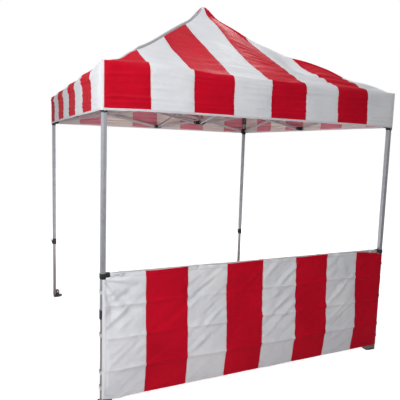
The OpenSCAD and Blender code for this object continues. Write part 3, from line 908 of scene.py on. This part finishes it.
def diagonalPulls(x, z):
    # the white panels are pulled most
    slant = math.radians(wallLook["pullSlant"])
    p = x * math.cos(slant) + z * math.sin(slant)
    q = z * math.cos(slant) - x * math.sin(slant)
    broad, narrow, small = wallLook["pulls"]
    pull = broad * (0.25 - abs(wobble(p * 2.0, q * 12.0, 2.0)))
    pull += narrow * wobble(p * 5.0, q * 31.0, 6.0) + small * wobble(x * 16, z * 13, 9.0)
    return pull * (0.65 + 0.35 * math.cos(math.pi * (x + 3.5 * stripe) / stripe))


def cornerRays(x, z):
    corner = Vector((x + wallHalf, z - wallHigh.z + 0.04))
    reach = corner.length
    turn = math.atan2(-corner.y, corner.x)
    rays = wallLook["rays"] * math.sin(turn * 13 + 3 * wobble(reach * 3, 0, 5))
    return rays * ridge(reach - 0.16, 0.16) * ease(0.02, 0.06, reach)


def wallFolds(x, z):
    bulge, height = quarterFolds(x, z)
    pull = diagonalPulls(x, z) * (0.35 + 0.65 * ease(0.15, 0.4, height))
    return bulge + pull + cornerRays(x, z) - wallLook["seamDraw"] * nearSeam(x)


def wallTop(x):
    sag = wallLook["topSag"] * (1 - math.cos(math.tau * (x + wallHalf) / (2 * wallHalf / 4)))
    return wallHigh.z - sag - wallLook["rightDrop"] * ease(0.90, 1.16, x)


def wallBottom(x):
    # the hem dips near the left corner and rises right at it
    dip = 0.005 * ridge(x + 1.10, 0.06) - 0.008 * ease(1.12, 1.2, -x)
    return wallLow.z - dip + 0.003 * wobble(x * 3, 0, 1)


def edgeGap(x, z):
    # how far a place on the flat cloth is from its nearest edge, and how far along that edge
    return min((wallHigh.z - z, x), (z - wallLow.z, x), (wallHalf - abs(x), z))


def wallPoint(x, z):
    share = (z - wallLow.z) / wallTall
    low = wallBottom(x)
    free = ease(0.0, 0.04, wallHalf - abs(x))
    hem = clothLook["hemWidth"]
    doubled = wallLook["hemStep"] * (1 - ease(hem - wallLook["hemSlope"], hem, edgeGap(x, z)[0]))
    out = 0.0005 + free * wallFolds(x, z) + doubled
    return Vector((x, wallLow.y - out, low + (wallTop(x) - low) * share))


def cutLevel(side, step):
    # the height on the flat cloth that hangs just under a rail clamp, or under its socket
    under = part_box("rail_clamps")[0].z + step - wallLook["clampGap"]
    share = (under - wallLow.z) / (wallTop(side * wallHalf) - wallLow.z)
    return wallLow.z + share * wallTall


def spaced(low, high, count, also):
    steps = {round(low + (high - low) * i / count, 5) for i in range(count + 1)}
    return sorted(steps | {round(place, 5) for place in also})


def buildWall(look):
    socketCut, sleeveCut = look["clampCut"]
    hems = (clothLook["hemWidth"] - look["hemSlope"], clothLook["hemWidth"])
    cuts = {side: [cutLevel(side, step) for step in (0, look["socketStep"])] for side in (-1, 1)}
    seams = [stripe * k for k in range(-3, 4)]
    xs = spaced(-wallHalf, wallHalf, look["columns"],
                seams + [s * (wallHalf - d) for s in (-1, 1) for d in (socketCut, sleeveCut) + hems])
    zs = spaced(wallLow.z, wallHigh.z, look["rows"], [wallHigh.z - d for d in hems]
                + [wallLow.z + d for d in hems] + cuts[-1] + cuts[1])
    sheet = newSheet()
    sheet["points"] = [wallPoint(x, z) for z in zs for x in xs]
    for j in range(len(zs) - 1):
        for i in range(len(xs) - 1):
            x, z = (xs[i] + xs[i + 1]) / 2, (zs[j] + zs[j + 1]) / 2
            inward = wallHalf - abs(x)
            if inward < socketCut and z > cuts[1 if x > 0 else -1][0 if inward < sleeveCut else 1]:
                continue
            n = j * len(xs) + i
            flat = [(xs[i], zs[j]), (xs[i + 1], zs[j]), (xs[i + 1], zs[j + 1]), (xs[i], zs[j + 1])]
            slot = whiteSlot if redAt(frontSide, x) else redSlot   # the wall starts with white at the left
            addFace(sheet, [n, n + 1, n + 1 + len(xs), n + len(xs)], slot, flat,
                    [edgeGap(*place) for place in flat])
    wall = makeSheet("half_wall_cloth", sheet)
    editAll(wall, (bpy.ops.mesh.delete_loose, {}))
    paint(wall, *clothSet)
    giveThickness(wall, look["thickness"])
    return wall


wall = buildWall(wallLook)
keep(wall, "frame", "wall_cloth", "half_wall")
print("half wall made:", len(wall.data.polygons), "faces")


# Studio: pale floor, soft light from the left of the camera, white surroundings

studioLook = {
    "world": 0.12,             # strength of the light from all round
    "lamps": (
        {"place": (-3.2, -2.6, 3.0), "size": 1.0, "power": 60, "aim": (-0.6, -1.2, 1.8)},
        {"place": (-4.5, -1.0, 2.0), "size": 1.0, "power": 18, "aim": (-1.2, 0.0, 1.8)},
        {"place": (-1.95, -4.10, 1.95), "size": 0.5, "power": 25, "aim": (0.0, 0.0, 1.5)},
        {"place": (0.5, -5.0, 6.0), "size": 2.0, "power": 50, "aim": (0.0, -0.5, 2.3)},
        {"place": (0.0, -0.5, 6.0), "size": 2.0, "power": 50, "aim": (0.0, 0.0, 2.0)},
        {"place": (2.60, 2.90, 5.60), "size": 0.8, "power": 48, "aim": (0.2, -0.6, 2.6)},
        {"place": (3.0, 5.0, 1.8), "size": 2.0, "power": 60, "aim": (0.2, 0.2, 1.4)},
        {"place": (0.0, 0.0, 0.3), "size": 2.0, "power": 33, "aim": (0.0, 0.001, 2.0)},   # off the ground
    ),
    "floorSize": 60,
    "floorLevel": -0.0005,     # just under the feet
    "floorGlow": (0.72, 1.0),
    "glowReach": (1.6, 4.5),   # distances from the booth's middle at which it has those two strengths
}
white = (1, 1, 1, 1)


def addWorld(look):
    # plain white where the camera, gloss or glass looks at it, and a faint light on the rest
    view.world = bpy.data.worlds.new("studio")
    tree = newTree(view.world)
    soft = addNode(tree, "ShaderNodeBackground", {"Color": white, "Strength": look["world"]})
    seen = addNode(tree, "ShaderNodeBackground", {"Color": white, "Strength": 1.0})
    path = addNode(tree, "ShaderNodeLightPath").outputs
    either = addNode(tree, "ShaderNodeMath", {
        "operation": "MAXIMUM", 0: path["Is Camera Ray"], 1: path["Is Glossy Ray"]})
    anyOf = addNode(tree, "ShaderNodeMath", {
        "operation": "MAXIMUM", 0: either.outputs[0], 1: path["Is Transmission Ray"]})
    mix = addNode(tree, "ShaderNodeMixShader", {0: anyOf.outputs[0], 1: soft.outputs[0], 2: seen.outputs[0]})
    addNode(tree, "ShaderNodeOutputWorld", {"Surface": mix.outputs[0]})


def addLamps(look):
    for lamp in look["lamps"]:
        aim = (Vector(lamp["aim"]) - Vector(lamp["place"])).to_track_quat("-Z", "Y").to_euler()
        bpy.ops.object.light_add(type="AREA", location=lamp["place"], rotation=aim)
        light = bpy.context.object
        light.visible_camera = False
        light.data.size = lamp["size"]
        light.data.energy = lamp["power"]


def addFloor(look):
    # pale matt floor: it keeps the booth's soft shadow and reaches white further out
    bpy.ops.mesh.primitive_plane_add(size=look["floorSize"], location=(0, 0, look["floorLevel"]))
    floor = bpy.context.object
    floor.name = "studio_floor"
    material = bpy.data.materials.new("paleFloor")
    tree = newTree(material)
    place = addNode(tree, "ShaderNodeTexCoord").outputs["Object"]
    away = addNode(tree, "ShaderNodeVectorMath", {"operation": "LENGTH", "Vector": place})
    strength = addNode(tree, "ShaderNodeMapRange", {
        "Value": away.outputs["Value"], "From Min": look["glowReach"][0], "From Max": look["glowReach"][1],
        "To Min": look["floorGlow"][0], "To Max": look["floorGlow"][1]})
    diffuse = addNode(tree, "ShaderNodeBsdfDiffuse", {"Color": (0.85, 0.85, 0.85, 1)})
    glow = addNode(tree, "ShaderNodeEmission", {"Color": white, "Strength": strength.outputs["Result"]})
    both = addNode(tree, "ShaderNodeAddShader", {0: diffuse.outputs[0], 1: glow.outputs[0]})
    path = addNode(tree, "ShaderNodeLightPath").outputs
    mix = addNode(tree, "ShaderNodeMixShader", {
        0: path["Is Camera Ray"], 1: diffuse.outputs[0], 2: both.outputs[0]})
    addNode(tree, "ShaderNodeOutputMaterial", {"Surface": mix.outputs[0]})
    paint(floor, material)


addWorld(studioLook)
addLamps(studioLook)
addFloor(studioLook)
print("studio lit")
